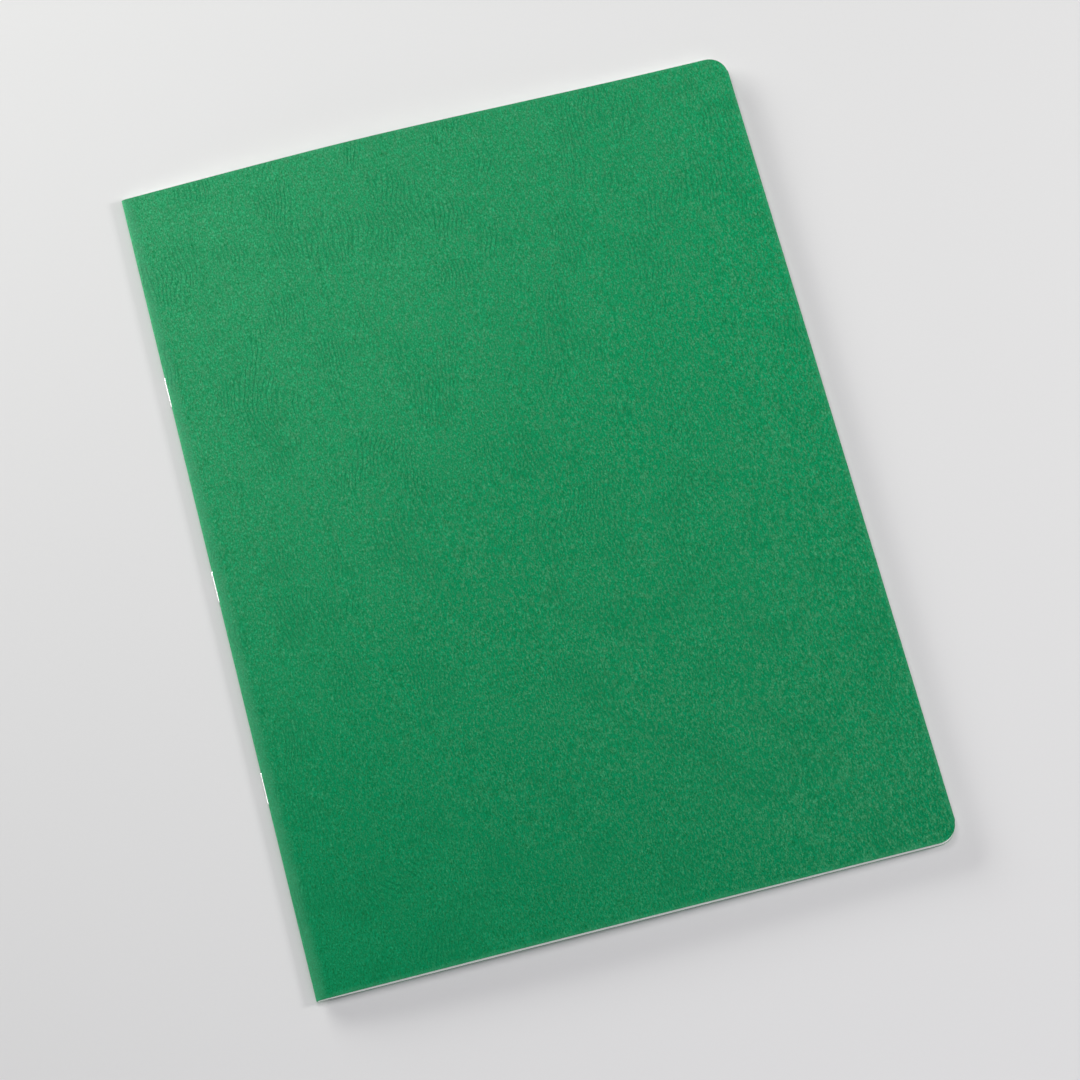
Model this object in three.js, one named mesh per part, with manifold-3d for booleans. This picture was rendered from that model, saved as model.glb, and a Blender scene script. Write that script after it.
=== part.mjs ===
// Stapled exercise book: a folded card cover, nested folded sheets and three wire staples.
// Millimetres. X runs from the spine to the fore edge, Y from tail to head, Z up from the back cover.
// A folded piece is parted at its fold into the half above it and the half below it.

import * as THREE from 'three';
import Module from 'manifold-3d';
import { mergeVertices } from 'three/addons/utils/BufferGeometryUtils.js';

const wasm = await Module();
wasm.setup();

// Book
const bookWidth = 230;
const bookHeight = 315;
const cornerRadius = 7;
const coverThickness = 0.35;

// Paper
const sheetCount = 12;
const leafThickness = 0.09;
const leafGap = 0.01;
const tightestFold = 0.05;

// Staples
const stapleCount = 3;
const staplePitch = 78;
const crownLength = 12.4;
const wireDiameter = 0.6;
const bendInside = 0.2;
const tipSpacing = 2.6;
const wireClearance = 0.05;
const tipClearance = 0.1;

// Facets
const foldSteps = 4;
const cornerSteps = 6;
const wireSides = 8;
const wireSteps = 72;

// Worked out from the sizes above. The hinge line of every leaf is the outside of the spine at
// half the book's height, and the pieces are drawn from that line.
const leafPitch = leafThickness + leafGap;
const coverFold = tightestFold + sheetCount * leafPitch;
const foldCentre = coverFold + coverThickness;
const halfHeight = foldCentre;
const wireRadius = wireDiameter / 2;
const legPlace = crownLength / 2 - wireRadius;
const tipPlace = foldCentre + wireRadius;

const cardMaterial = new THREE.MeshStandardMaterial({ color: 0x26945c, roughness: 0.55, metalness: 0 });
const paperMaterial = new THREE.MeshStandardMaterial({ color: 0xf3f2ec, roughness: 0.85, metalness: 0 });
const wireMaterial = new THREE.MeshStandardMaterial({ color: 0xc9cbcd, roughness: 0.3, metalness: 1 });

function toSolid(geometry) {
  geometry.deleteAttribute('normal');
  geometry.deleteAttribute('uv');
  const merged = mergeVertices(geometry);
  const vertProperties = new Float32Array(merged.attributes.position.array);
  const triVerts = new Uint32Array(merged.index.array);
  return new wasm.Manifold(new wasm.Mesh({ numProp: 3, vertProperties, triVerts }));
}

function toGeometry(solid) {
  const mesh = solid.getMesh();
  const geometry = new THREE.BufferGeometry();
  geometry.setAttribute('position', new THREE.BufferAttribute(new Float32Array(mesh.vertProperties), 3));
  geometry.setIndex(new THREE.BufferAttribute(new Uint32Array(mesh.triVerts), 1));
  geometry.computeVertexNormals();
  return geometry;
}

// Points of a quarter fold from the parting plane up to the flat of the leaf. Every fold has its
// corners at the same angles, so that the nested folds stay parallel.
function foldPoints(radius) {
  const points = [];
  for (let step = 0; step <= foldSteps; step += 1) {
    const angle = Math.PI - (step / foldSteps) * (Math.PI / 2);
    points.push(new THREE.Vector2(foldCentre + radius * Math.cos(angle), radius * Math.sin(angle)));
  }
  const partingShare = (leafGap / 2) / points[1].y;
  points[0].lerp(points[1], partingShare);
  return points;
}

// Section of one half of a folded piece, seen from the tail. side is 1 above the fold, -1 below it.
function halfSection(innerFold, thickness, side) {
  const outer = foldPoints(innerFold + thickness);
  const inner = foldPoints(innerFold).reverse();
  const fore = [
    new THREE.Vector2(bookWidth, innerFold + thickness),
    new THREE.Vector2(bookWidth, innerFold),
  ];
  const points = [...outer, ...fore, ...inner];
  return new THREE.Shape(points.map((point) => new THREE.Vector2(point.x, side * point.y)));
}

// The book's outline after trimming: square at the spine, with round corners at the fore edge.
function trimmedOutline() {
  const head = bookHeight / 2;
  const corner = bookWidth - cornerRadius;
  const outline = new THREE.Shape();
  outline.moveTo(-wireDiameter, -head);
  outline.lineTo(corner, -head);
  outline.absarc(corner, -head + cornerRadius, cornerRadius, -Math.PI / 2, 0);
  outline.lineTo(bookWidth, head - cornerRadius);
  outline.absarc(corner, head - cornerRadius, cornerRadius, 0, Math.PI / 2);
  outline.lineTo(-wireDiameter, head);
  const depth = 2 * halfHeight + 2 * leafGap;
  const geometry = new THREE.ExtrudeGeometry(outline, { depth, bevelEnabled: false, curveSegments: cornerSteps });
  geometry.translate(0, 0, -depth / 2);
  return toSolid(geometry);
}

function staplePlace(index) {
  return ((stapleCount - 1) / 2 - index) * staplePitch;
}

// A block of air between two X and two Y values, as high as the wire and its clearance.
function airBlock(lowX, highX, lowY, highY, clearance) {
  const block = new THREE.BoxGeometry(highX - lowX, highY - lowY, wireDiameter + 2 * clearance);
  block.translate((lowX + highX) / 2, (lowY + highY) / 2, 0);
  return toSolid(block);
}

// Room for one staple: the notch of its crown in the spine, two slots for its legs and the
// hollow that its clinched tips press into the middle leaves.
function stapleRoom() {
  const reach = wireRadius + wireClearance;
  const tipReach = wireRadius + tipClearance;
  const crownEnd = legPlace + reach;
  let room = airBlock(-reach, reach, -crownEnd, crownEnd, wireClearance);
  for (const end of [-1, 1]) {
    const leg = end * legPlace;
    room = room.add(airBlock(-reach, tipPlace, leg - reach, leg + reach, wireClearance));
    const innerEnd = end * (tipSpacing / 2 - tipClearance);
    const outerEnd = end * (legPlace + tipReach);
    const lowY = Math.min(innerEnd, outerEnd);
    const highY = Math.max(innerEnd, outerEnd);
    room = room.add(airBlock(tipPlace - tipReach, tipPlace + tipReach, lowY, highY, tipClearance));
  }
  return room;
}

function roomForStaples() {
  const one = stapleRoom();
  let room = one.translate([0, staplePlace(0), 0]);
  for (let index = 1; index < stapleCount; index += 1) {
    room = room.add(one.translate([0, staplePlace(index), 0]));
  }
  return room;
}

const outlineSolid = trimmedOutline();
const wireRoom = roomForStaples();

function foldedHalf(name, innerFold, thickness, side, material) {
  const section = halfSection(innerFold, thickness, side);
  const geometry = new THREE.ExtrudeGeometry(section, { depth: bookHeight, bevelEnabled: false });
  geometry.rotateX(Math.PI / 2);
  geometry.translate(0, bookHeight / 2, 0);
  const solid = toSolid(geometry).intersect(outlineSolid).subtract(wireRoom);
  const mesh = new THREE.Mesh(toGeometry(solid), material);
  mesh.name = name;
  return mesh;
}

// Line of the wire through one staple: tip, leg, crown, leg and tip, all at the fold's height.
function wirePath() {
  const bend = bendInside + wireRadius;
  const tipEnd = tipSpacing / 2;
  const corners = [
    new THREE.Vector3(tipPlace, -tipEnd, 0),
    new THREE.Vector3(tipPlace, -legPlace, 0),
    new THREE.Vector3(0, -legPlace, 0),
    new THREE.Vector3(0, legPlace, 0),
    new THREE.Vector3(tipPlace, legPlace, 0),
    new THREE.Vector3(tipPlace, tipEnd, 0),
  ];
  const path = new THREE.CurvePath();
  let start = corners[0];
  for (let index = 1; index < corners.length - 1; index += 1) {
    const corner = corners[index];
    const before = corners[index - 1].clone().sub(corner).setLength(bend).add(corner);
    const after = corners[index + 1].clone().sub(corner).setLength(bend).add(corner);
    path.add(new THREE.LineCurve3(start, before));
    path.add(new THREE.QuadraticBezierCurve3(before, corner, after));
    start = after;
  }
  path.add(new THREE.LineCurve3(start, corners[corners.length - 1]));
  return path;
}

function wireSection() {
  const points = [];
  for (let side = 0; side < wireSides; side += 1) {
    const angle = (side / wireSides) * 2 * Math.PI;
    points.push(new THREE.Vector2(wireRadius * Math.cos(angle), wireRadius * Math.sin(angle)));
  }
  return new THREE.Shape(points);
}

function staple(index) {
  const options = { steps: wireSteps, extrudePath: wirePath(), bevelEnabled: false };
  const geometry = new THREE.ExtrudeGeometry(wireSection(), options);
  const mesh = new THREE.Mesh(toGeometry(toSolid(geometry)), wireMaterial);
  mesh.name = `staple_${index + 1}`;
  mesh.position.y = staplePlace(index);
  return mesh;
}

// Leaves are counted from the front cover down. Sheet 1 is the outermost, next to the cover, and
// gives the first and the last leaf.
function addSheet(book, number) {
  const innerFold = coverFold - number * leafPitch;
  const leafName = (leaf) => `leaf_${String(leaf).padStart(2, '0')}`;
  const lastLeaf = 2 * sheetCount;
  book.add(foldedHalf(leafName(number), innerFold, leafThickness, 1, paperMaterial));
  book.add(foldedHalf(leafName(lastLeaf + 1 - number), innerFold, leafThickness, -1, paperMaterial));
}

function exerciseBook() {
  const book = new THREE.Group();
  book.add(foldedHalf('front_cover', coverFold, coverThickness, 1, cardMaterial));
  book.add(foldedHalf('back_cover', coverFold, coverThickness, -1, cardMaterial));
  for (let number = 1; number <= sheetCount; number += 1) {
    addSheet(book, number);
  }
  for (let index = 0; index < stapleCount; index += 1) {
    book.add(staple(index));
  }
  book.position.set(-(bookWidth - wireRadius) / 2, 0, halfHeight);
  return book;
}

const model = new THREE.Group();
model.add(exerciseBook());

export default model;
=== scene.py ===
import math
import random

import bmesh
import bpy
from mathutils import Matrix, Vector


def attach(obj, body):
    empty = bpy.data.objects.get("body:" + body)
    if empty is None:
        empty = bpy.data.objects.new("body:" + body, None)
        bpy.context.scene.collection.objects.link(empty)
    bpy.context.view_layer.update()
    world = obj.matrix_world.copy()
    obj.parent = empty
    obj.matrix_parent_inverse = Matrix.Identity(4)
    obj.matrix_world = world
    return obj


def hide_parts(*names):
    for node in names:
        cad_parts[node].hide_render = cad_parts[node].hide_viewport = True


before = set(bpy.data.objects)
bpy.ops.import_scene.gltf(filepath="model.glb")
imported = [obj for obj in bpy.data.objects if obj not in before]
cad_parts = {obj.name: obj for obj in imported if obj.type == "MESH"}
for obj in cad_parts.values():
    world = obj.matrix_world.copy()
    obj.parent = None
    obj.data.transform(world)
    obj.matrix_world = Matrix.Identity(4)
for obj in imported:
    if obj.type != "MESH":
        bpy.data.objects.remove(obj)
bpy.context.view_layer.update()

# Lengths are in metres. X runs from the spine to the fore edge, Y from tail to head, Z up.
book = {
    "hinge": -0.11485,        # outside of the spine, the line that all leaves turn about
    "foldCentre": -0.11325,
    "foreEdge": 0.11515,
    "head": 0.1575,
    "middle": 0.0016,         # height at which every folded piece is parted
    "corner": 0.007,
    "cornerSteps": 10,
    "nib": 0.00025,           # small step where the corner cutter meets the fore edge
    "parting": 0.000005,      # half the gap between the upper and the lower half
    "smoothAngle": 30,
}

# How close two places may be and still count as one
near = {"point": 1e-6, "row": 1e-5, "cut": 1e-7, "parting": 1e-8}

cutSlot = 2  # a leaf or cover has three finishes: outside, inside and cut edge


def deselectAll():
    for item in bpy.context.selected_objects:
        item.select_set(False)


def takeOnly(piece):
    deselectAll()
    piece.select_set(True)
    bpy.context.view_layer.objects.active = piece


def named(piece, name):
    piece.name = name
    piece.data.name = name
    return piece


def startEdit(piece, kind="VERT"):
    takeOnly(piece)
    bpy.ops.object.mode_set(mode="EDIT")
    bpy.ops.mesh.select_mode(type=kind)


def endEdit():
    bpy.ops.object.mode_set(mode="OBJECT")


def pickVerts(piece, test):
    bpy.ops.mesh.select_all(action="DESELECT")
    shape = bmesh.from_edit_mesh(piece.data)
    for vert in shape.verts:
        if test(vert.co):
            vert.select = True
    shape.select_flush(True)
    bmesh.update_edit_mesh(piece.data)


def pickFaces(piece, test):
    bpy.ops.mesh.select_all(action="DESELECT")
    shape = bmesh.from_edit_mesh(piece.data)
    shape.normal_update()
    for face in shape.faces:
        if test(face.calc_center_median(), face.normal):
            face.select = True
    bmesh.update_edit_mesh(piece.data)


def mergeAndFaceOut():
    bpy.ops.mesh.select_all(action="SELECT")
    bpy.ops.mesh.remove_doubles(threshold=near["point"])
    bpy.ops.mesh.normals_make_consistent(inside=False)


def copyOf(piece, name):
    takeOnly(piece)
    bpy.ops.object.duplicate()
    return named(bpy.context.object, name)


def finishModifier(piece, modifier):
    takeOnly(piece)
    bpy.ops.object.modifier_apply(modifier=modifier.name)


def cutAt(places, normal):
    for place in places:
        bpy.ops.mesh.select_all(action="SELECT")
        bpy.ops.mesh.bisect(
            plane_co=[place * axis for axis in normal], plane_no=normal, threshold=near["cut"])


# Camera: the photograph's view, fitted to the book's edges
viewpoint = {
    "lens": 147.033,
    "sensor": 36,
    "place": (-0.10411, -0.5733, 1.47106),
    "turn": (21.1941, 1.4082, -14.2816),
}


def addCamera():
    turn = [math.radians(angle) for angle in viewpoint["turn"]]
    bpy.ops.object.camera_add(location=viewpoint["place"], rotation=turn)
    camera = bpy.context.object
    camera.data.sensor_width = viewpoint["sensor"]
    camera.data.lens = viewpoint["lens"]
    bpy.context.scene.camera = camera


addCamera()
print("camera placed")

# Arch: the whole book rises a little between the spine and the fore edge, most at the head
arch = {"rise": 0.003, "tailShare": 0.17, "skew": 0.763, "power": 2.369}


def between(value, low, high):
    # 0 at low, 1 at high, held beyond them
    return min(max((value - low) / (high - low), 0.0), 1.0)


def archShare(x, y):
    along = between(x, book["foldCentre"], book["foreEdge"])
    swing = max(0.0, math.sin(math.pi * along ** arch["skew"])) ** arch["power"]
    toHead = between(y, -book["head"], book["head"])
    return swing * (arch["tailShare"] + (1 - arch["tailShare"]) * toHead)


def archHere(place):
    return archShare(place.x, place.y)


# Pinch: the pressed fold is thinner than the loose leaves beside it
pinch = {"depth": 0.00072, "reach": 0.026}


def pinchShare(place):
    fade = between(place.x, book["hinge"] + pinch["reach"], book["hinge"])
    return (place.z - book["middle"]) / book["middle"] * fade * fade


def shiftByShare(piece, share, distance, texture=None):
    # Moves each point up by its own share of the distance, unevenly where a texture is given.
    group = piece.vertex_groups.new(name="share")
    for vert in piece.data.vertices:
        group.add([vert.index], share(vert.co), "REPLACE")
    takeOnly(piece)
    bpy.ops.object.modifier_add(type="DISPLACE")
    shift = piece.modifiers[-1]
    shift.direction = "Z"
    shift.mid_level = 0
    shift.strength = distance
    shift.vertex_group = group.name
    if texture:
        shift.texture = texture
        shift.texture_coords = "LOCAL"
    finishModifier(piece, shift)
    piece.vertex_groups.clear()


# Columns where the flat of a leaf or cover may bend, closer together near the spine
columns = {"count": 46, "lean": 1.5}


def columnPlaces():
    length = book["foreEdge"] - book["foldCentre"]
    return [
        book["foldCentre"] + length * (step / columns["count"]) ** columns["lean"]
        for step in range(1, columns["count"])
    ]


def flatPanel(name, rows):
    # One trimmed leaf at the height of the fold, square at the spine and round at the fore edge
    length = book["foreEdge"] - book["foldCentre"]
    centre = (book["foreEdge"] + book["foldCentre"]) / 2
    deselectAll()
    bpy.ops.mesh.primitive_plane_add(size=1, location=(centre, 0, book["middle"]))
    panel = named(bpy.context.object, name)
    panel.dimensions = (length, 2 * book["head"], 0)
    bpy.ops.object.transform_apply(location=True, rotation=True, scale=True)
    startEdit(panel)
    pickVerts(panel, lambda place: place.x > book["foreEdge"] - near["row"])
    bpy.ops.mesh.bevel(
        offset=book["corner"], segments=book["cornerSteps"], profile=0.5,
        affect="VERTICES", clamp_overlap=False)
    cornerX = book["foreEdge"] - book["corner"]
    cornerY = book["head"] - book["corner"] + near["row"]
    pickVerts(panel, lambda place: abs(place.y) > cornerY and place.x > cornerX)
    bpy.ops.transform.translate(value=(-book["nib"], 0, 0))
    cutAt(columnPlaces(), (1, 0, 0))
    cutAt([book["head"] * (2 * row / rows - 1) for row in range(1, rows)], (0, 1, 0))
    endEdit()
    return panel


def foldedHalf(panel, name, innerFold, build, finishes):
    # Lifts a copy of the panel to its place in the nest, spins its spine edge on into the fold,
    # gives it its thickness outwards and parts it at half height.
    half = copyOf(panel, name)
    for finish in finishes:
        half.data.materials.append(finish)
    startEdit(half)
    bpy.ops.mesh.select_all(action="SELECT")
    bpy.ops.transform.translate(value=(0, 0, innerFold))
    bpy.ops.mesh.select_mode(type="EDGE")
    pickVerts(half, lambda place: place.x < book["foldCentre"] + near["point"])
    steps = build["foldSteps"]
    bpy.ops.mesh.spin(
        steps=steps + 1, angle=math.pi / 2 * (steps + 1) / steps,  # one step past the parting
        center=(book["foldCentre"], 0, book["middle"]), axis=(0, 1, 0))
    bpy.ops.mesh.select_mode(type="VERT")
    mergeAndFaceOut()
    shape = bmesh.from_edit_mesh(half.data)
    flat = max(shape.faces, key=lambda face: face.calc_center_median().x)
    if flat.normal.z < 0:
        bpy.ops.mesh.flip_normals()
    endEdit()
    bpy.ops.object.modifier_add(type="SOLIDIFY")
    wall = half.modifiers[-1]
    wall.thickness = build["thickness"]
    wall.offset = 1
    wall.use_even_offset = True
    wall.material_offset = 1
    wall.material_offset_rim = cutSlot
    finishModifier(half, wall)
    startEdit(half)
    bpy.ops.mesh.select_all(action="SELECT")
    bpy.ops.mesh.bisect(
        plane_co=(0, 0, book["middle"] + book["parting"]), plane_no=(0, 0, 1),
        use_fill=True, clear_inner=True, threshold=near["parting"])
    endEdit()
    return half


# Small makers for nodes
def join(tree, value, socket):
    if isinstance(value, bpy.types.NodeSocket):
        tree.links.new(value, socket)
    else:
        socket.default_value = value


def addNode(tree, kind, inputs=None, **settings):
    node = tree.nodes.new(kind)
    for key, value in settings.items():
        setattr(node, key, value)
    for socket, value in (inputs or {}).items():
        join(tree, value, node.inputs[socket])
    return node


def calc(tree, operation, *values):
    return addNode(tree, "ShaderNodeMath", dict(enumerate(values)), operation=operation).outputs[0]


def vectorCalc(tree, operation, *values):
    return addNode(tree, "ShaderNodeVectorMath", dict(enumerate(values)), operation=operation).outputs[0]


def ramp(tree, value, low, high, start=0.0, end=1.0, kind="SMOOTHSTEP"):
    inputs = {"Value": value, "From Min": low, "From Max": high, "To Min": start, "To Max": end}
    return addNode(tree, "ShaderNodeMapRange", inputs, interpolation_type=kind).outputs[0]


def mixColour(tree, share, first, second, kind="MIX"):
    inputs = {0: share, 6: first, 7: second}  # a Mix node's factor and its two colour sockets
    return addNode(tree, "ShaderNodeMix", inputs, data_type="RGBA", blend_type=kind).outputs[2]


def noise(tree, vector, scale, detail=2.0, roughness=0.5, output="Fac"):
    inputs = {"Vector": vector, "Scale": scale, "Detail": detail, "Roughness": roughness}
    return addNode(tree, "ShaderNodeTexNoise", inputs).outputs[output]


def cellEdges(tree, vector, density, randomness):
    inputs = {"Vector": vector, "Scale": density, "Randomness": randomness}
    return addNode(tree, "ShaderNodeTexVoronoi", inputs, feature="DISTANCE_TO_EDGE").outputs["Distance"]


def wandering(tree, place, scale, reach):
    # Shifts a place about softly, by up to half the reach each way.
    shift = vectorCalc(tree, "SUBTRACT", noise(tree, place, scale, output="Color"), (0.5, 0.5, 0.5))
    return vectorCalc(tree, "ADD", place, vectorCalc(tree, "MULTIPLY", shift, reach))


def axes(tree, vector):
    return addNode(tree, "ShaderNodeSeparateXYZ", {0: vector}).outputs


def inMillimetres(tree, vector):
    return addNode(tree, "ShaderNodeVectorMath", {0: vector, "Scale": 1000}, operation="SCALE").outputs[0]


def newGroup(name, ins, outs):
    group = bpy.data.node_groups.new(name, "ShaderNodeTree")
    for socket, (kind, value) in ins.items():
        made = group.interface.new_socket(name=socket, in_out="INPUT", socket_type="NodeSocket" + kind)
        if value is not None:
            made.default_value = value
    for socket in outs:
        group.interface.new_socket(name=socket, in_out="OUTPUT", socket_type="NodeSocketFloat")
    entry = group.nodes.new("NodeGroupInput")
    leave = group.nodes.new("NodeGroupOutput")
    return group, entry.outputs, leave.inputs


def placeGroup(tree, group, inputs):
    node = tree.nodes.new("ShaderNodeGroup")
    node.node_tree = group
    for socket, value in inputs.items():
        join(tree, value, node.inputs[socket])
    return node.outputs


def objectPlace(tree):
    return tree.nodes.new("ShaderNodeTexCoord").outputs["Object"]


def newMaterial(name, values):
    material = bpy.data.materials.new(name)
    material.use_nodes = True
    shader = material.node_tree.nodes["Principled BSDF"]
    for socket, value in values.items():
        shader.inputs[socket].default_value = value
    return material, material.node_tree, shader


def finishSurface(tree, shader, colour, rough, height, depth):
    # Joins a material's colour, roughness and bump to its shader.
    bump = addNode(tree, "ShaderNodeBump", {"Height": height, "Distance": depth, "Strength": 1.0})
    join(tree, colour, shader.inputs["Base Color"])
    join(tree, rough, shader.inputs["Roughness"])
    join(tree, bump.outputs["Normal"], shader.inputs["Normal"])


def seenShare(tree):
    # 1 for what is seen, also in metal or through glass, and 0 for what only gives light
    paths = tree.nodes.new("ShaderNodeLightPath").outputs
    indirect = calc(tree, "MAXIMUM", paths["Is Glossy Ray"], paths["Is Transmission Ray"])
    return calc(tree, "MAXIMUM", paths["Is Camera Ray"], indirect)


# Embossed leather grain: rounded pebbles, fine tooth between them and bundles of long creases.
# Scales are per millimetre.
leather = {
    "pebble": 1.25,                    # millimetres from one large pebble to the next
    "smaller": 2.3,                    # how many small pebbles go to a large one
    "wander": (1.1, 1.6, 0.0),
    "wanderScale": 0.45,
    "roundTo": 0.32,                   # share of a pebble over which its rim rounds off
    "smallRoundTo": 0.3,
    "toothStretch": (1.0, 0.58, 1.0),
    "toothScale": 2.3,
    "toothRoughness": 0.8,
    "fleckStretch": (1.0, 0.42, 1.0),
    "fleckScale": 1.35,
    "fleckRoughness": 0.75,
    "creaseBend": (26.0, 40.0, 0.0),
    "creaseBendScale": 0.028,
    "creaseDrift": (0.5, 0.07, 1.0),
    "creaseDriftReach": 8.0,
    "creaseDensity": 3.7,              # radians of the wave for each millimetre
    "creaseWidth": (-0.1, 0.9),
    "bundleScale": 0.052,
    "bundleEdge": (0.51, 0.6),
    "heights": {"small": 0.35, "large": 0.55, "tooth": 1.6, "fleck": 0.9, "crease": -2.2},
}


def makeCreases(group, place, strength):
    across = axes(group, wandering(group, place, leather["creaseBendScale"], leather["creaseBend"]))["X"]
    drift = noise(group, vectorCalc(group, "MULTIPLY", place, leather["creaseDrift"]), 1.0, 1.5)
    drift = calc(group, "MULTIPLY", drift, leather["creaseDriftReach"])
    lines = calc(group, "SINE", calc(group, "MULTIPLY_ADD", across, leather["creaseDensity"], drift))
    lines = ramp(group, lines, *leather["creaseWidth"])
    bundles = ramp(group, noise(group, place, leather["bundleScale"]), *leather["bundleEdge"])
    return calc(group, "MULTIPLY", calc(group, "MULTIPLY", lines, bundles), strength)


def makeLeatherGrain():
    group, take, give = newGroup(
        "leatherGrain",
        {"Vector": ("Vector", None), "Pebble": ("Float", leather["pebble"]), "Creases": ("Float", 1.0)},
        ("Height", "Valley", "Crease", "Tooth", "Fleck"))
    place = inMillimetres(group, take["Vector"])
    bent = wandering(group, place, leather["wanderScale"], leather["wander"])
    density = calc(group, "DIVIDE", 1.0, take["Pebble"])
    large = ramp(group, cellEdges(group, bent, density, 0.95), 0.0, leather["roundTo"])
    smallDensity = calc(group, "MULTIPLY", density, leather["smaller"])
    small = ramp(group, cellEdges(group, bent, smallDensity, 1.0), 0.0, leather["smallRoundTo"])
    toothPlace = vectorCalc(group, "MULTIPLY", bent, leather["toothStretch"])
    tooth = noise(group, toothPlace, leather["toothScale"], 2, leather["toothRoughness"])
    fleckPlace = vectorCalc(group, "MULTIPLY", bent, leather["fleckStretch"])
    fleck = noise(group, fleckPlace, leather["fleckScale"], 2, leather["fleckRoughness"])
    crease = makeCreases(group, place, take["Creases"])
    heights = leather["heights"]
    height = calc(group, "MULTIPLY", large, heights["large"])
    height = calc(group, "MULTIPLY_ADD", small, heights["small"], height)
    height = calc(group, "MULTIPLY_ADD", tooth, heights["tooth"], height)
    height = calc(group, "MULTIPLY_ADD", fleck, heights["fleck"], height)
    height = calc(group, "MULTIPLY_ADD", crease, heights["crease"], height)
    join(group, height, give["Height"])
    join(group, calc(group, "SUBTRACT", 1.0, large), give["Valley"])
    join(group, crease, give["Crease"])
    join(group, tooth, give["Tooth"])
    join(group, fleck, give["Fleck"])
    return group


# Paper and board fibre: a felt of short soft threads, lying both ways. Scales are per millimetre.
felt = {
    "along": (2.2, 0.7, 1.0),
    "alongScale": 2.0,
    "across": (0.6, 2.0, 1.0),
    "acrossScale": 2.3,
    "cloudScale": 0.22,
}


def makeFibre():
    group, take, give = newGroup(
        "paperFibre", {"Vector": ("Vector", None), "Length": ("Float", 1.0)}, ("Height", "Cloud"))
    place = inMillimetres(group, take["Vector"])
    along = noise(group, vectorCalc(group, "MULTIPLY", place, felt["along"]), felt["alongScale"], 3, 0.6)
    across = noise(group, vectorCalc(group, "MULTIPLY", place, felt["across"]), felt["acrossScale"], 3, 0.6)
    height = calc(group, "MULTIPLY", calc(group, "ADD", along, across), take["Length"])
    join(group, height, give["Height"])
    join(group, noise(group, place, felt["cloudScale"], 3), give["Cloud"])
    return group


# Handling wear and painted highlight: strongest along the spine fold, where the lighter band is partly wear
# and partly a painted highlight of the curved fold, then wear along the trimmed edges and corners.
foldHighlightAndWearShape = {"raggedScale": 260, "foldRagged": 0.7, "edgeRagged": 1.6, "foldFade": (0.25, 1.25)}


def makeFoldHighlightAndWear():
    group, take, give = newGroup(
        "foldHighlightAndWear",
        {"Vector": ("Vector", None), "Fold Width": ("Float", 0.003), "Edge Width": ("Float", 0.0012)},
        ("Fold", "Edge"))
    parts = axes(group, take["Vector"])
    ragged = calc(group, "SUBTRACT", noise(group, take["Vector"], foldHighlightAndWearShape["raggedScale"], 3, 0.6), 0.5)
    fromSpine = calc(group, "SUBTRACT", parts["X"], book["hinge"])
    fromSpine = calc(group, "DIVIDE", fromSpine, take["Fold Width"])
    fromSpine = calc(group, "MULTIPLY_ADD", ragged, foldHighlightAndWearShape["foldRagged"], fromSpine)
    join(group, ramp(group, fromSpine, *foldHighlightAndWearShape["foldFade"], 1.0, 0.0), give["Fold"])
    toFore = calc(group, "SUBTRACT", book["foreEdge"], parts["X"])
    toEnd = calc(group, "SUBTRACT", book["head"], calc(group, "ABSOLUTE", parts["Y"]))
    toEdge = calc(group, "DIVIDE", calc(group, "MINIMUM", toFore, toEnd), take["Edge Width"])
    toEdge = calc(group, "MULTIPLY_ADD", ragged, foldHighlightAndWearShape["edgeRagged"], toEdge)
    join(group, ramp(group, toEdge, 0.0, 1.0, 1.0, 0.0), give["Edge"])
    return group


# Feint ruling: blue lines across the page and one red margin line.
ruling = {
    "spacing": 0.008,
    "lowest": -0.1415,
    "highest": 0.1275,
    "stroke": 0.0003,
    "marginIn": 0.032,
    "blue": (0.25, 0.43, 0.66, 1),
    "red": (0.72, 0.22, 0.26, 1),
}


def ruledStroke(group, distance):
    return ramp(group, distance, ruling["stroke"] * 0.3, ruling["stroke"] * 0.8, 1.0, 0.0, "LINEAR")


def makeRuling():
    group, take, give = newGroup(
        "feintRuling", {"Vector": ("Vector", None), "Margin": ("Float", 0.0)}, ("Line", "Margin Line"))
    parts = axes(group, take["Vector"])
    spacing = ruling["spacing"]
    fromLowest = calc(group, "SUBTRACT", parts["Y"], ruling["lowest"])
    line = ruledStroke(group, calc(group, "PINGPONG", fromLowest, spacing / 2))
    below = calc(group, "LESS_THAN", parts["Y"], ruling["highest"])
    above = calc(group, "GREATER_THAN", parts["Y"], ruling["lowest"] - spacing / 4)
    line = calc(group, "MULTIPLY", line, calc(group, "MULTIPLY", below, above))
    inkFlow = ramp(group, noise(group, take["Vector"], 160), 0.3, 0.6, 0.75, 1.0)
    join(group, calc(group, "MULTIPLY", line, inkFlow), give["Line"])
    fromMargin = calc(group, "ABSOLUTE", calc(group, "SUBTRACT", parts["X"], take["Margin"]))
    join(group, calc(group, "MULTIPLY", ruledStroke(group, fromMargin), inkFlow), give["Margin Line"])
    return group


leatherGrain = makeLeatherGrain()
paperFibre = makeFibre()
foldHighlightAndWear = makeFoldHighlightAndWear()
feintRuling = makeRuling()

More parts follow.
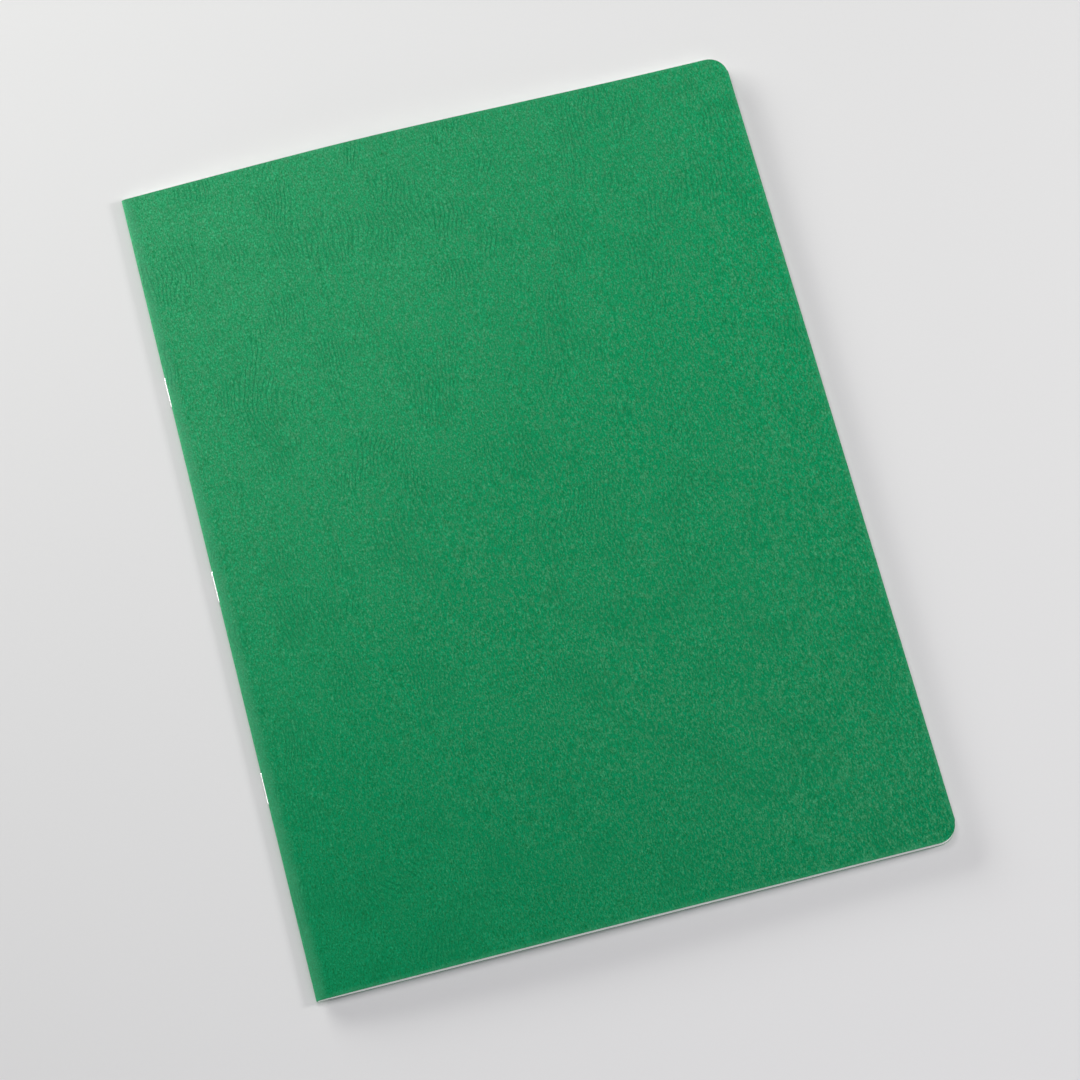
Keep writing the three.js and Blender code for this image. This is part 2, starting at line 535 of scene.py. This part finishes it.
# Cover card, dyed through and embossed on its outside
card = {
    "green": (0.0, 0.196, 0.072, 1),
    # painted light: the card is painted lighter toward the head than the green at the tail
    "paintedLitTone": (0.001, 0.288, 0.103, 1),
    # painted sheen: a paler, redder green toward the head at the spine
    "paintedSheen": (0.042, 0.358, 0.148, 1),
    "fleck": (0.062, 0.268, 0.122, 1),
    "lowTone": (0.1, 0.52, 0.3, 1),
    "highTone": (1.9, 1.5, 1.7, 1),
    # painted shade for the grain's valleys and creases
    "recessShade": (0.001, 0.200, 0.070, 1),
    "pale": (0.008, 0.275, 0.103, 1),
    # rubbed card, also used as a painted highlight along the spine fold
    "wornAndHighlit": (0.085, 0.36, 0.19, 1),
    "inside": (0.010, 0.26, 0.10, 1),
    "grainDepth": 0.00005,
    "insideDepth": 0.000022,
    "cutDepth": 0.00002,
    "roughness": 0.6,
    # the band along the fold is partly wear and partly painted highlight
    "foldWearAndHighlight": 0.35,
    "edgeWear": 0.22,
    "foldWearAndHighlightWidth": 0.0044,
    "edgeWearWidth": 0.002,
    "paintedLitToneAlong": (-0.165, 0.06),    # where along Y the dark green at the tail turns into the lighter tone painted toward the head
    "paintedSheenLean": -0.8,
    "paintedSheenAlong": (0.0, 0.26),
    "paintedSheenMost": 0.85,
    "cloudScale": 22,
    "cloudMost": 0.25,
    # the flecks thin out toward the tail at the spine, following the painted sheen
    "fleckLean": 0.9,
    "fleckAlong": (-0.26, -0.06),
    "fleckShare": (0.02, 0.75),
    "fleckEdge": (0.42, 0.64),
    "toothEdge": (0.3, 0.7),
    "valleyShadeShare": 0.38,
    "creaseShadeShare": 0.36,
}


def dyeWithPaintedLight(tree, place):
    # Painted shade toward the tail and painted light toward the head, a painted sheen toward the head at the
    # spine, and a little cloudy
    parts = axes(tree, place)
    toHead = ramp(tree, parts["Y"], *card["paintedLitToneAlong"], kind="LINEAR")
    colour = mixColour(tree, toHead, card["green"], card["paintedLitTone"])
    # painted sheen, strongest toward the head at the spine
    toCorner = calc(tree, "MULTIPLY_ADD", parts["X"], card["paintedSheenLean"], parts["Y"])
    toCorner = ramp(tree, toCorner, *card["paintedSheenAlong"], 0.0, card["paintedSheenMost"], "LINEAR")
    colour = mixColour(tree, toCorner, colour, card["paintedSheen"])
    cloud = ramp(tree, noise(tree, place, card["cloudScale"], 3), 0.3, 0.7, 0.0, card["cloudMost"])
    return mixColour(tree, cloud, colour, card["pale"])


def grainedColour(tree, place, grain, colour):
    # Reddish flecks of the grain, fewest toward the tail at the spine where the painted sheen is least, then
    # the light and dark tooth of the grain and painted shade in its valleys and creases
    parts = axes(tree, place)
    fromTail = calc(tree, "MULTIPLY_ADD", parts["X"], card["fleckLean"], parts["Y"])
    fromTail = ramp(tree, fromTail, *card["fleckAlong"], *card["fleckShare"], "LINEAR")
    fleck = calc(tree, "MULTIPLY", ramp(tree, grain["Fleck"], *card["fleckEdge"]), fromTail)
    colour = mixColour(tree, fleck, colour, card["fleck"])
    toothShare = ramp(tree, grain["Tooth"], *card["toothEdge"], kind="LINEAR")
    tone = mixColour(tree, toothShare, card["lowTone"], card["highTone"])
    colour = mixColour(tree, 1.0, colour, tone, "MULTIPLY")
    # painted shade in the valleys and creases of the grain
    valley = calc(tree, "MULTIPLY", grain["Valley"], card["valleyShadeShare"])
    crease = calc(tree, "MULTIPLY", grain["Crease"], card["creaseShadeShare"])
    return mixColour(tree, crease, mixColour(tree, valley, colour, card["recessShade"]), card["recessShade"])


def makeCardOutside():
    material, tree, shader = newMaterial(
        "embossedCard", {"Roughness": card["roughness"], "Specular IOR Level": 0.05})
    place = objectPlace(tree)
    grain = placeGroup(tree, leatherGrain, {"Vector": place, "Pebble": leather["pebble"], "Creases": 1.0})
    fibre = placeGroup(tree, paperFibre, {"Vector": place, "Length": 1.0})
    litAndWornMasks = placeGroup(tree, foldHighlightAndWear, {
        "Vector": place, "Fold Width": card["foldWearAndHighlightWidth"], "Edge Width": card["edgeWearWidth"]})
    foldWearAndHighlight = calc(tree, "MULTIPLY", litAndWornMasks["Fold"], card["foldWearAndHighlight"])
    edgeWear = calc(tree, "MULTIPLY", litAndWornMasks["Edge"], card["edgeWear"])
    colour = grainedColour(tree, place, grain, dyeWithPaintedLight(tree, place))
    # wear at the edges; along the fold partly wear and partly painted highlight
    colour = mixColour(tree, calc(tree, "MAXIMUM", foldWearAndHighlight, edgeWear), colour, card["wornAndHighlit"])
    rough = calc(tree, "MULTIPLY_ADD", grain["Valley"], 0.14, card["roughness"] - 0.04)
    rough = calc(tree, "MULTIPLY_ADD", litAndWornMasks["Fold"], -0.08, rough)
    height = calc(tree, "MULTIPLY_ADD", fibre["Height"], 0.08, grain["Height"])
    finishSurface(tree, shader, colour, rough, height, card["grainDepth"])
    return material


def makeCardInside():
    material, tree, shader = newMaterial("smoothCard", {"Roughness": 0.7, "Specular IOR Level": 0.35})
    place = objectPlace(tree)
    fibre = placeGroup(tree, paperFibre, {"Vector": place, "Length": 1.0})
    grain = placeGroup(tree, leatherGrain, {"Vector": place, "Pebble": leather["pebble"], "Creases": 0.4})
    colour = mixColour(tree, ramp(tree, fibre["Cloud"], 0.3, 0.7), card["inside"], card["pale"])
    rough = ramp(tree, fibre["Height"], 0.6, 1.4, 0.62, 0.78)
    height = calc(tree, "MULTIPLY_ADD", grain["Height"], -0.35, fibre["Height"])  # the emboss shows through
    finishSurface(tree, shader, colour, rough, height, card["insideDepth"])
    return material


def makeCardCut():
    material, tree, shader = newMaterial("cutCard", {"Roughness": 0.85, "Specular IOR Level": 0.25})
    fibre = placeGroup(tree, paperFibre, {"Vector": objectPlace(tree), "Length": 1.4})
    colour = mixColour(tree, ramp(tree, fibre["Height"], 0.9, 1.7), card["green"], card["wornAndHighlit"])
    rough = ramp(tree, fibre["Cloud"], 0.3, 0.7, 0.78, 0.92)
    finishSurface(tree, shader, colour, rough, fibre["Height"], card["cutDepth"])
    return material


# Writing paper
paper = {
    "white": (0.80, 0.81, 0.785, 1),
    "warm": (0.785, 0.79, 0.762, 1),
    "cut": (0.85, 0.87, 0.85, 1),
    "depth": 0.000006,
    "cutDepth": 0.000015,
    "lineInk": 0.85,
    "marginInk": 0.8,
}


def makePage(name, marginPlace):
    material, tree, shader = newMaterial(name, {"Roughness": 0.82, "Specular IOR Level": 0.3})
    place = objectPlace(tree)
    fibre = placeGroup(tree, paperFibre, {"Vector": place, "Length": 1.0})
    lines = placeGroup(tree, feintRuling, {"Vector": place, "Margin": marginPlace})
    colour = mixColour(tree, ramp(tree, fibre["Cloud"], 0.3, 0.75), paper["white"], paper["warm"])
    blueShare = calc(tree, "MULTIPLY", lines["Line"], paper["lineInk"])
    redShare = calc(tree, "MULTIPLY", lines["Margin Line"], paper["marginInk"])
    colour = mixColour(tree, redShare, mixColour(tree, blueShare, colour, ruling["blue"]), ruling["red"])
    rough = ramp(tree, fibre["Height"], 0.6, 1.4, 0.76, 0.88)
    finishSurface(tree, shader, colour, rough, fibre["Height"], paper["depth"])
    return material


def makePageCut():
    material, tree, shader = newMaterial("cutPaper", {"Roughness": 0.9, "Specular IOR Level": 0.2})
    fibre = placeGroup(tree, paperFibre, {"Vector": objectPlace(tree), "Length": 1.5})
    colour = mixColour(tree, ramp(tree, fibre["Height"], 0.9, 1.9), paper["white"], paper["cut"])
    rough = ramp(tree, fibre["Cloud"], 0.3, 0.7, 0.84, 0.95)
    finishSurface(tree, shader, colour, rough, fibre["Height"], paper["cutDepth"])
    return material


# Bright drawn steel wire with lengthwise draw marks
steel = {
    "dark": (0.70, 0.71, 0.70, 1),
    "bright": (0.81, 0.81, 0.80, 1),
    "drawn": (9000.0, 420.0, 9000.0),  # close together across the wire, long along it
    "spotScale": 1400,
    "depth": 0.000008,
}


def makeWire():
    material, tree, shader = newMaterial("drawnWire", {"Metallic": 1.0, "Roughness": 0.24})
    place = objectPlace(tree)
    marks = noise(tree, vectorCalc(tree, "MULTIPLY", place, steel["drawn"]), 1.0, 3, 0.6)
    spots = noise(tree, place, steel["spotScale"])
    colour = mixColour(tree, ramp(tree, marks, 0.3, 0.7), steel["dark"], steel["bright"])
    rough = calc(tree, "MULTIPLY_ADD", spots, 0.16, ramp(tree, marks, 0.3, 0.7, 0.2, 0.32))
    finishSurface(tree, shader, colour, rough, marks, steel["depth"])
    return material


cardOutside = makeCardOutside()
cardInside = makeCardInside()
cardCut = makeCardCut()
pageFront = makePage("ruledFront", book["hinge"] + ruling["marginIn"])
pageBack = makePage("ruledBack", book["foreEdge"] - ruling["marginIn"])
pageCut = makePageCut()
wireFinish = makeWire()
print("materials made")

# Staples: round wire, crown outside the fold, legs through it, tips clinched inside
staple = {
    "places": (0.078, 0.0, -0.078),
    "wire": 0.0003,
    "legPlace": 0.0059,
    "tipPlace": 0.0019,
    "tipEnd": 0.0013,
    "blunting": 0.25,         # how much of the wire's radius the cut tips are rounded by
    "bend": 0.0005,
    "room": 0.00036,          # radius of the way that the wire needs through card and paper
    "tipRoom": 0.0001,
    "sides": 14,
    "bendSteps": 6,
    "smoothAngle": 40,
}


def bluntTip(wire, tipY, radius):
    tipX = book["hinge"] + staple["tipPlace"] - 2 * radius
    pickVerts(wire, lambda place: abs(place.y - tipY) < near["point"] and place.x > tipX)
    bpy.ops.mesh.edge_face_add()
    bpy.ops.mesh.bevel(offset=radius * staple["blunting"], segments=2, affect="EDGES")


def stapleShape(name, radius, tipEnd):
    # A ring at one tip, drawn along the straights and spun round the four bends.
    tipX = book["hinge"] + staple["tipPlace"]
    bend = staple["bend"]
    straightEnd = staple["legPlace"] - bend
    deselectAll()
    bpy.ops.mesh.primitive_circle_add(
        vertices=staple["sides"], radius=radius,
        location=(tipX, -tipEnd, book["middle"]), rotation=(math.pi / 2, 0, 0))
    wire = named(bpy.context.object, name)
    bpy.ops.object.transform_apply(location=True, rotation=True, scale=True)
    startEdit(wire, "EDGE")
    bpy.ops.mesh.select_all(action="SELECT")
    tip = straightEnd - tipEnd
    leg = staple["tipPlace"] - 2 * bend
    runs = [(0, -tip), (-leg, 0), (0, 2 * straightEnd), (leg, 0), (0, -tip)]
    turns = [(tipX - bend, -straightEnd), (book["hinge"] + bend, -straightEnd),
             (book["hinge"] + bend, straightEnd), (tipX - bend, straightEnd)]
    for number, (runX, runY) in enumerate(runs):
        bpy.ops.mesh.extrude_region_move(TRANSFORM_OT_translate={"value": (runX, runY, 0)})
        if number < len(turns):
            turnX, turnY = turns[number]
            bpy.ops.mesh.spin(
                steps=staple["bendSteps"], angle=math.pi / 2,
                center=(turnX, turnY, book["middle"]), axis=(0, 0, 1))
    bpy.ops.mesh.select_mode(type="VERT")
    for side in (-1, 1):
        bluntTip(wire, side * tipEnd, radius)
    mergeAndFaceOut()
    endEdit()
    bpy.ops.object.shade_smooth_by_angle(angle=math.radians(staple["smoothAngle"]))
    return wire


def stapleSet(pattern, baseName):
    made = []
    for number, place in enumerate(staple["places"], 1):
        wire = copyOf(pattern, baseName + "_" + str(number))
        wire.location.y = place
        takeOnly(wire)
        bpy.ops.object.transform_apply(location=True)
        made.append(wire)
    bpy.data.objects.remove(pattern)
    return made


def makeStaples():
    pattern = stapleShape("stapleWire", staple["wire"], staple["tipEnd"])
    pattern.data.materials.append(wireFinish)
    for number, wire in enumerate(stapleSet(pattern, "stapleWire"), 1):
        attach(wire, "leaf_13")
        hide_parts("staple_" + str(number))


def makeStapleRoom():
    # Thicker staples, joined to one piece, that are taken out of the folds
    pattern = stapleShape("stapleRoom", staple["room"], staple["tipEnd"] - staple["tipRoom"])
    rooms = stapleSet(pattern, "stapleRoom")
    deselectAll()
    for room in rooms:
        room.select_set(True)
    bpy.context.view_layer.objects.active = rooms[0]
    bpy.ops.object.join()
    for face in rooms[0].data.polygons:
        face.material_index = cutSlot
    return rooms[0]


makeStaples()
stapleRoom = makeStapleRoom()
print("staples bent")


def takeOutRoom(half):
    takeOnly(half)
    bpy.ops.object.modifier_add(type="BOOLEAN")
    cut = half.modifiers[-1]
    cut.operation = "DIFFERENCE"
    cut.solver = "EXACT"
    cut.object = stapleRoom
    finishModifier(half, cut)


def colourCuts(half):
    # Gives the faces that the parting made the finish of cut edges.
    startEdit(half, "FACE")
    middle = book["middle"]
    pickFaces(half, lambda centre, normal: abs(centre.z - middle) < near["row"] and abs(normal.z) > 0.9)
    half.active_material_index = cutSlot
    bpy.ops.object.material_slot_assign()
    endEdit()


def finishFold(half):
    colourCuts(half)
    shiftByShare(half, pinchShare, -pinch["depth"])
    takeOutRoom(half)


def mirrored(half, name):
    # The same piece below the fold
    lower = copyOf(half, name)
    startEdit(lower)
    bpy.ops.mesh.select_all(action="SELECT")
    bpy.ops.transform.resize(value=(1, 1, -1), center_override=(0, 0, book["middle"]))
    bpy.ops.mesh.normals_make_consistent(inside=False)
    endEdit()
    return lower


def finishHalf(half):
    shiftByShare(half, archHere, arch["rise"])
    takeOnly(half)
    bpy.ops.object.shade_smooth_by_angle(angle=math.radians(book["smoothAngle"]))


# Leaves: twelve sheets nested in the cover, each parted into an upper and a lower leaf
leaf = {
    "sheets": 12,
    "thickness": 0.00009,
    "pitch": 0.0001,
    "outerFold": 0.00115,
    "foldSteps": 6,
    "rows": 12,
    "trimScatter": 0.00005,
    "trimStart": 0.0001,      # the trimmed ends are taken from this far inside the corners
    "seed": 7,
}


def trimLeaf(half, chance):
    # The guillotine leaves each leaf a hair longer or shorter than the next.
    scatter = leaf["trimScatter"]
    endStart = book["head"] - book["corner"] - leaf["trimStart"]
    foreStart = book["foreEdge"] - book["corner"] - leaf["trimStart"]
    startEdit(half)
    for side in (-1, 1):
        pickVerts(half, lambda place: side * place.y > endStart)
        bpy.ops.transform.translate(value=(0, side * chance.uniform(-scatter, 0), 0))
    pickVerts(half, lambda place: place.x > foreStart)
    bpy.ops.transform.translate(value=(chance.uniform(-scatter, 0), 0, 0))
    endEdit()


def makeLeaves():
    chance = random.Random(leaf["seed"])
    panel = flatPanel("leafPanel", leaf["rows"])
    for sheet in range(1, leaf["sheets"] + 1):
        partner = 2 * leaf["sheets"] + 1 - sheet
        innerFold = leaf["outerFold"] - (sheet - 1) * leaf["pitch"]
        upper = foldedHalf(panel, "paperLeaf_%02d" % sheet, innerFold, leaf, (pageFront, pageBack, pageCut))
        finishFold(upper)
        lower = mirrored(upper, "paperLeaf_%02d" % partner)
        lower.data.materials[0] = pageBack
        lower.data.materials[1] = pageFront
        for half, number in ((upper, sheet), (lower, partner)):
            trimLeaf(half, chance)
            finishHalf(half)
            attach(half, "leaf_%02d" % number)
            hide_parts("leaf_%02d" % number)
    bpy.data.objects.remove(panel)


makeLeaves()
print("leaves folded")

# Covers: one card folded round the sheets, parted at the spine
cover = {
    "innerFold": 0.00125,
    "thickness": 0.000344,    # a hair under the card's own, so that its halves clear each other when turned
    "foldSteps": 12,
    "rows": 42,
    "swell": 0.00022,         # slow unevenness of the card, only outwards
    "swellSize": 0.045,
}


def swellCover(half, side):
    texture = bpy.data.textures.new("cardSwell", "CLOUDS")
    texture.noise_scale = cover["swellSize"]
    texture.noise_depth = 1
    shiftByShare(half, archHere, side * cover["swell"], texture)


def makeCovers():
    panel = flatPanel("cardPanel", cover["rows"])
    front = foldedHalf(panel, "frontCard", cover["innerFold"], cover, (cardOutside, cardInside, cardCut))
    finishFold(front)
    back = mirrored(front, "backCard")
    for half, body, side in ((front, "front_cover", 1), (back, "back_cover", -1)):
        swellCover(half, side)
        finishHalf(half)
        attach(half, body)
        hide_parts(body)
    bpy.data.objects.remove(panel)


makeCovers()
bpy.data.objects.remove(stapleRoom)
print("covers folded")

room = {"fill": 0.31, "fillColour": (0.98, 0.965, 1.0, 1), "backdrop": (0.80, 0.81, 0.81, 1)}

# Table top, with a shallow hollow on the left that an arched cover or leaf lies in once turned over
table = {
    "drop": 0.0001,
    "size": 9.0,
    "hollow": 0.0033,
    "level": 0.002,           # how far past head and tail the hollow keeps its whole depth
    "fade": 0.12,
    "fadeRows": 8,
    "insideRows": 8,
    "colour": (0.70, 0.705, 0.70, 1),
    # painted light: the table is painted lighter toward the tail and the right, where the key lamp reaches it
    # less
    "paintedLightTowardTail": (0.766, 0.767, 0.769, 1),
    "speck": (0.985, 0.985, 0.985, 1),
    "speckScale": 900,
    "paleFrom": (0.5, 1.3),   # distances between which the table turns into the backdrop
    "tailLean": -0.5,
    "tailAlong": (-0.3, 0.45),
}


def hollowShare(place):
    turned = archShare(2 * book["hinge"] - place.x, place.y)
    reach = book["head"] + table["level"]
    beyond = between(abs(place.y), reach, reach + table["fade"])
    return turned * (1 - beyond * beyond * (3 - 2 * beyond))


def makeTableFinish():
    material, tree, shader = newMaterial("paleTable", {"Roughness": 0.6, "Specular IOR Level": 0.2})
    place = objectPlace(tree)
    parts = axes(tree, place)
    # painted light: lighter toward the tail and the right, against the key lamp's falloff
    toHead = calc(tree, "MULTIPLY_ADD", parts["X"], table["tailLean"], parts["Y"])
    toHead = ramp(tree, toHead, *table["tailAlong"], kind="LINEAR")
    pale = mixColour(tree, toHead, table["paintedLightTowardTail"], table["colour"])
    pale = mixColour(tree, noise(tree, place, table["speckScale"], 3), pale, table["speck"], "MULTIPLY")
    join(tree, pale, shader.inputs["Base Color"])
    # The hollow is shaded as if it were flat.
    join(tree, addNode(tree, "ShaderNodeCombineXYZ", {"Z": 1.0}).outputs[0], shader.inputs["Normal"])
    # Seen far from the book the table fades into the pale backdrop.
    away = addNode(tree, "ShaderNodeVectorMath", {0: place}, operation="LENGTH").outputs["Value"]
    away = ramp(tree, away, *table["paleFrom"])
    backdrop = addNode(tree, "ShaderNodeEmission", {"Color": room["backdrop"], "Strength": 1.0})
    fade = addNode(tree, "ShaderNodeMixShader", {0: calc(tree, "MULTIPLY", away, seenShare(tree))})
    join(tree, shader.outputs[0], fade.inputs[1])
    join(tree, backdrop.outputs[0], fade.inputs[2])
    join(tree, fade.outputs[0], tree.nodes["Material Output"].inputs["Surface"])
    return material


def makeTable():
    deselectAll()
    bpy.ops.mesh.primitive_plane_add(size=table["size"], location=(0, 0, -table["drop"]))
    top = named(bpy.context.object, "tableTop")
    bpy.ops.object.transform_apply(location=True)
    startEdit(top)
    leafColumns = [book["foldCentre"]] + columnPlaces() + [book["foreEdge"]]
    cutAt([2 * book["hinge"] - place for place in leafColumns], (1, 0, 0))
    reach = book["head"] + table["level"]
    rows = [reach + table["fade"] * step / table["fadeRows"] for step in range(table["fadeRows"] + 1)]
    inside = [reach * (2 * step / table["insideRows"] - 1) for step in range(1, table["insideRows"])]
    cutAt([-row for row in reversed(rows)] + inside + rows, (0, 1, 0))
    endEdit()
    shiftByShare(top, hollowShare, -table["hollow"])
    top.data.materials.append(makeTableFinish())


makeTable()
print("table laid")

# Studio light: a wide low key from the upper left, a small lamp low on the right, a soft one overhead
# and a weak one before the tail. Each is turned toward the middle of the book.
studio = {
    "keyLamp": {"place": (-0.80, 1.15, 0.27), "size": (1.2, 0.28), "power": 30.0, "colour": (1.0, 1.0, 0.97)},
    "sideLamp": {"place": (1.0, -0.06, 0.50), "size": (0.2, 0.2), "power": 5.2, "colour": (1.0, 0.99, 0.98)},
    "topLamp": {"place": (-0.1, 0.28, 0.75), "size": (0.3, 0.3), "power": 1.5, "colour": (1.0, 1.0, 1.0)},
    "tailFill": {"place": (0.0, -0.65, 0.2), "size": (0.4, 0.15), "power": 0.68, "colour": (0.94, 0.93, 1.0)},
}


def addLamp(name, lamp):
    place = Vector(lamp["place"])
    turn = (-place).to_track_quat("-Z", "Y").to_euler()
    bpy.ops.object.light_add(type="AREA", location=place, rotation=turn)
    light = bpy.context.object
    light.name = name
    light.data.shape = "RECTANGLE"
    light.data.size, light.data.size_y = lamp["size"]
    light.data.energy = lamp["power"]
    light.data.color = lamp["colour"]
    light.visible_camera = False


def makeLight():
    for name, lamp in studio.items():
        addLamp(name, lamp)
    world = bpy.data.worlds.new("studio")
    world.use_nodes = True
    bpy.context.scene.world = world
    tree = world.node_tree
    tree.nodes.clear()
    fill = addNode(tree, "ShaderNodeBackground", {"Color": room["fillColour"], "Strength": room["fill"]})
    seen = addNode(tree, "ShaderNodeBackground", {"Color": room["backdrop"], "Strength": 1.0})
    either = addNode(tree, "ShaderNodeMixShader", {0: seenShare(tree)})
    join(tree, fill.outputs[0], either.inputs[1])
    join(tree, seen.outputs[0], either.inputs[2])
    leave = tree.nodes.new("ShaderNodeOutputWorld")
    join(tree, either.outputs[0], leave.inputs["Surface"])


makeLight()
bpy.context.scene.view_settings.view_transform = "Standard"
print("lights set")
